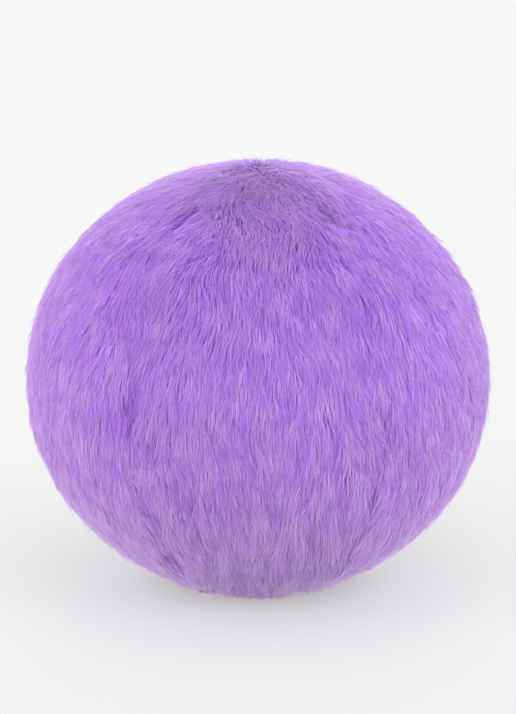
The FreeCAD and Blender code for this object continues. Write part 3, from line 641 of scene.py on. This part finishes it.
def build_coil(side, sign):
    """One side's coil: nylon filament wound flat along the tape's edge, its heads facing the seam."""
    arc = (TAPE_RADIUS + COIL_HEIGHT / 2) * (ZIPPER_HIGH - ZIPPER_LOW)
    turns = int(arc / COIL_PITCH)
    phase = np.linspace(0.0, math.tau * turns, turns * STEPS_PER_TURN + 1)
    phase += 0.0 if sign > 0 else math.pi
    margin = FILAMENT_RADIUS / TAPE_RADIUS
    elevation = np.linspace(ZIPPER_LOW + margin, ZIPPER_HIGH - margin, len(phase))
    upward = np.array((0.0, 0.0, 1.0))
    half_width = (COIL_FAR - COIL_NEAR) / 2 - FILAMENT_RADIUS
    half_height = COIL_HEIGHT / 2 - FILAMENT_RADIUS
    aside = (COIL_FAR + COIL_NEAR) / 2 + half_width * np.cos(phase)
    level = TAPE_RADIUS + COIL_HEIGHT / 2 + half_height * np.sin(phase)
    radial = np.cos(elevation)[:, None] * ZIPPER_OUTWARD + np.sin(elevation)[:, None] * upward
    centre = ZIPPER_OUTWARD * SIDE_CENTRE + upward * MIDDLE_Z
    line = centre + level[:, None] * radial + (sign * aside)[:, None] * ZIPPER_ACROSS
    tangent = np.gradient(line, axis=0)
    tangent /= np.linalg.norm(tangent, axis=1, keepdims=True)
    along = np.cross(radial, ZIPPER_ACROSS)
    first = np.cross(tangent, along)
    first /= np.linalg.norm(first, axis=1, keepdims=True)
    second = np.cross(tangent, first)
    rings = []
    corners = FILAMENT_CORNERS
    for corner in range(corners):
        angle = math.tau * corner / corners
        rings.append(line + FILAMENT_RADIUS * (math.cos(angle) * first + math.sin(angle) * second))
    vertices = np.stack(rings, 1).reshape(-1, 3)
    faces = []
    for row in range(len(line) - 1):
        for corner in range(corners):
            a = row * corners + corner
            b = row * corners + (corner + 1) % corners
            faces += [a, b, b + corners, a + corners]
    sizes = [4] * (len(faces) // 4) + [corners, corners]
    faces += list(range(corners - 1, -1, -1))
    faces += list(range(len(vertices) - corners, len(vertices)))
    coil = new_object(f"coil_{side}", vertices, faces, np.array(sizes), NYLON)
    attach(coil, "ball")
    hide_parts(f"zipper_coil_{side}")


# ---------------------------------------------------------------- the stage

def build_stage():
    """A plain pale floor that fades into a pale studio; its glow is dimmed round the middle, a contact shadow
    painted under the ball.
    """
    mesh = bpy.data.meshes.new("floor")
    reach = FLOOR_REACH
    mesh.from_pydata([(-reach, -reach, 0), (reach, -reach, 0), (reach, reach, 0), (-reach, reach, 0)], [],
                     [(0, 1, 2, 3)])
    floor = bpy.data.objects.new("floor", mesh)
    bpy.context.scene.collection.objects.link(floor)
    nodes = Nodes("pale_floor")
    paint = nodes.add("ShaderNodeBsdfDiffuse", {"Color": FLOOR_PAINT})
    # painted shadow: the floor's glow is dimmed near the middle, a contact shadow painted under the ball
    distance = nodes.add("ShaderNodeVectorMath", {0: nodes.place()}, operation="LENGTH")
    painted_shadow_glow = nodes.add("ShaderNodeMapRange", {
        "Value": distance.outputs["Value"], "From Min": PAINTED_SHADOW_EDGE[0], "From Max": PAINTED_SHADOW_EDGE[1],
        "To Min": FLOOR_GLOW_AND_PAINTED_SHADOW[0], "To Max": FLOOR_GLOW_AND_PAINTED_SHADOW[1]}, interpolation_type="SMOOTHSTEP")
    light = nodes.add("ShaderNodeEmission", {"Strength": painted_shadow_glow.outputs["Result"]})
    share = nodes.add("ShaderNodeMixShader", {"Fac": FILL_SHARE, 1: paint.outputs["BSDF"],
                                              2: light.outputs["Emission"]})
    mesh.materials.append(nodes.finish(share.outputs["Shader"]))

    world = bpy.data.worlds.new("studio")
    world.use_nodes = True
    world.node_tree.nodes["Background"].inputs["Color"].default_value = (1.0, 1.0, 1.0, 1.0)
    world.node_tree.nodes["Background"].inputs["Strength"].default_value = WORLD_STRENGTH
    bpy.context.scene.world = world
    bpy.context.scene.view_settings.view_transform = "Standard"


def add_lamp(name, azimuth, elevation, strength, colour):
    """A broad soft light from far off."""
    light = bpy.data.lights.new(name, "SUN")
    light.angle = LAMP_WIDTH
    light.energy = strength
    light.color = colour
    lamp = bpy.data.objects.new(name, light)
    turn = FRONT_ANGLE + math.radians(azimuth)
    rise = math.radians(elevation)
    towards = Vector((math.cos(rise) * math.cos(turn), math.cos(rise) * math.sin(turn), math.sin(rise)))
    lamp.location = towards
    lamp.rotation_euler = towards.to_track_quat("Z", "Y").to_euler()
    bpy.context.scene.collection.objects.link(lamp)


def build_camera():
    """A long lens a little above the ball's middle, as far off as fills the frame's width."""
    aim = Vector((0.0, 0.0, MIDDLE_Z + AIM_ABOVE_MIDDLE))
    data = bpy.data.cameras.new("camera")
    data.sensor_fit = "HORIZONTAL"
    data.sensor_width = SENSOR_WIDTH
    data.lens = CAMERA_LENS
    camera = bpy.data.objects.new("camera", data)
    back = Vector((0.0, -math.cos(CAMERA_ELEVATION), math.sin(CAMERA_ELEVATION)))
    camera.location = aim + back * CAMERA_DISTANCE
    camera.rotation_euler = (-back).to_track_quat("-Z", "Y").to_euler()
    bpy.context.scene.collection.objects.link(camera)
    bpy.context.scene.camera = camera


def paint_frame_nodes():
    """Procedural materials for the CAD nodes that stay."""
    kinds = (("seam_thread", THREAD), ("pole_tack", THREAD), ("zipper_stitch", THREAD), ("zipper_tape", TAPE),
             ("zipper_coil", NYLON), ("zipper_", ENAMEL), ("bladder", RUBBER), ("valve", BLACK_RUBBER))
    for name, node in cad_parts.items():
        for prefix, material in kinds:
            if name.startswith(prefix):
                for material_slot in node.material_slots:
                    material_slot.material = material
                break


paint_frame_nodes()
for gore in range(len(GORES)):
    build_gore(gore)
build_stage()
build_coil("left", -1)
build_coil("right", 1)
for lamp in LAMPS:
    add_lamp(*lamp)
build_camera()
